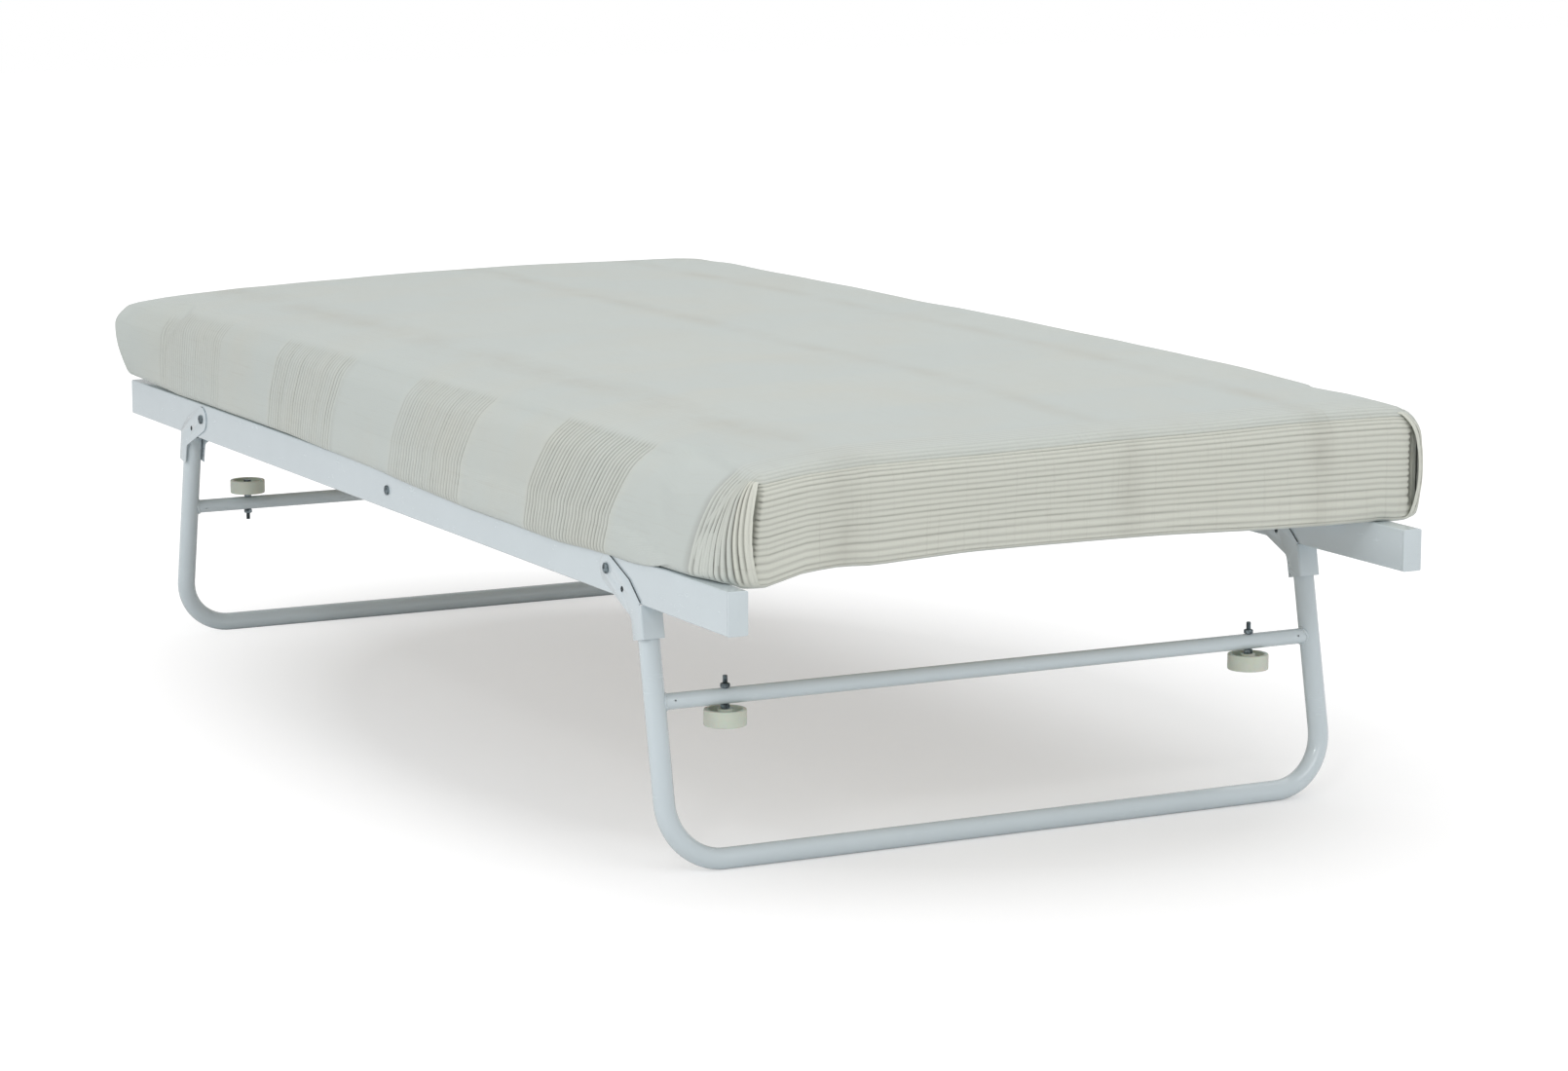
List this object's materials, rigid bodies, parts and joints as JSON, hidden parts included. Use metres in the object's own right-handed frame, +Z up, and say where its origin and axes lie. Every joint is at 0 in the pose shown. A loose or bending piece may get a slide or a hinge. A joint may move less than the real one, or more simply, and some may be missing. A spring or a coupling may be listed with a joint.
{
  "type": "folding cot",
  "caption": "Folding cot: a low painted-steel frame with wooden slats and a foam mattress, on hinged tube leg frames with wheels that fold in under the bed.",
  "frame": {"origin": "on the floor, under the middle of the bed", "axes": "+X towards the foot end, +Y to the sleeper's left, +Z up"},
  "size_m": [1.995, 0.9966, 0.5034],
  "materials": {
    "painted_steel": "glossy white powder coat with a faint blue tint",
    "cap_plastic": "moulded white plastic",
    "zinc": "dull zinc plate",
    "wheel_nylon": "moulded off-white nylon",
    "slat_wood": "clear-coated laminated beech",
    "cover_fabric": "off-white woven cotton with crosswise ribs",
    "foam": "open-cell foam"
  },
  "bodies": {
    "frame": {"side_rail_left": "painted_steel", "rail_end_cap_left_head": "cap_plastic", "rail_end_cap_left_foot": "cap_plastic", "side_rail_right": "painted_steel", "rail_end_cap_right_head": "cap_plastic", "rail_end_cap_right_foot": "cap_plastic", "cross_tube_head": "painted_steel", "cross_tube_centre": "painted_steel", "cross_tube_foot": "painted_steel", "centre_tube_bolt_left": "zinc", "centre_tube_bolt_right": "zinc", "pivot_bolt_head_left": "zinc", "pivot_nut_head_left": "zinc", "pivot_bolt_head_right": "zinc", "pivot_nut_head_right": "zinc", "pivot_bolt_foot_left": "zinc", "pivot_nut_foot_left": "zinc", "pivot_bolt_foot_right": "zinc", "pivot_nut_foot_right": "zinc", "slat_01": "slat_wood", "slat_02": "slat_wood", "slat_03": "slat_wood", "slat_04": "slat_wood", "slat_05": "slat_wood", "slat_06": "slat_wood", "slat_07": "slat_wood", "slat_08": "slat_wood", "slat_09": "slat_wood", "slat_10": "slat_wood", "slat_11": "slat_wood", "slat_12": "slat_wood", "slat_ledge_left": "painted_steel", "slat_ledge_right": "painted_steel", "mattress_cover": "cover_fabric", "mattress_core": "foam"},
    "leg_frame_head": {"leg_tube_head": "painted_steel", "crossbar_head": "painted_steel", "bracket_head_left": "painted_steel", "axle_bolt_head_left": "zinc", "hub_nut_head_left": "zinc", "lock_nut_head_left": "zinc", "bracket_head_right": "painted_steel", "axle_bolt_head_right": "zinc", "hub_nut_head_right": "zinc", "lock_nut_head_right": "zinc"},
    "leg_frame_foot": {"leg_tube_foot": "painted_steel", "crossbar_foot": "painted_steel", "bracket_foot_left": "painted_steel", "axle_bolt_foot_left": "zinc", "hub_nut_foot_left": "zinc", "lock_nut_foot_left": "zinc", "bracket_foot_right": "painted_steel", "axle_bolt_foot_right": "zinc", "hub_nut_foot_right": "zinc", "lock_nut_foot_right": "zinc"},
    "wheel_head_left": {"wheel_head_left": "wheel_nylon"},
    "wheel_head_right": {"wheel_head_right": "wheel_nylon"},
    "wheel_foot_left": {"wheel_foot_left": "wheel_nylon"},
    "wheel_foot_right": {"wheel_foot_right": "wheel_nylon"}
  },
  "joints": [
    {"name": "leg_fold_head", "type": "hinge", "parent": "frame", "child": "leg_frame_head", "pos_m": [-0.684, 0, 0.33477], "axis": [0, -1, 0], "range_deg": [0, 101.5]},
    {"name": "leg_fold_foot", "type": "hinge", "parent": "frame", "child": "leg_frame_foot", "pos_m": [0.684, 0, 0.33477], "axis": [0, 1, 0], "range_deg": [0, 101.5]},
    {"name": "wheel_spin_head_left", "type": "hinge", "parent": "leg_frame_head", "child": "wheel_head_left", "pos_m": [-0.78116, 0.356, 0.2179], "axis": [0, 0, 1], "continuous": true},
    {"name": "wheel_spin_head_right", "type": "hinge", "parent": "leg_frame_head", "child": "wheel_head_right", "pos_m": [-0.78116, -0.356, 0.2179], "axis": [0, 0, 1], "continuous": true},
    {"name": "wheel_spin_foot_left", "type": "hinge", "parent": "leg_frame_foot", "child": "wheel_foot_left", "pos_m": [0.78116, 0.356, 0.1687], "axis": [0, 0, 1], "continuous": true},
    {"name": "wheel_spin_foot_right", "type": "hinge", "parent": "leg_frame_foot", "child": "wheel_foot_right", "pos_m": [0.78116, -0.356, 0.1687], "axis": [0, 0, 1], "continuous": true}
  ]
}
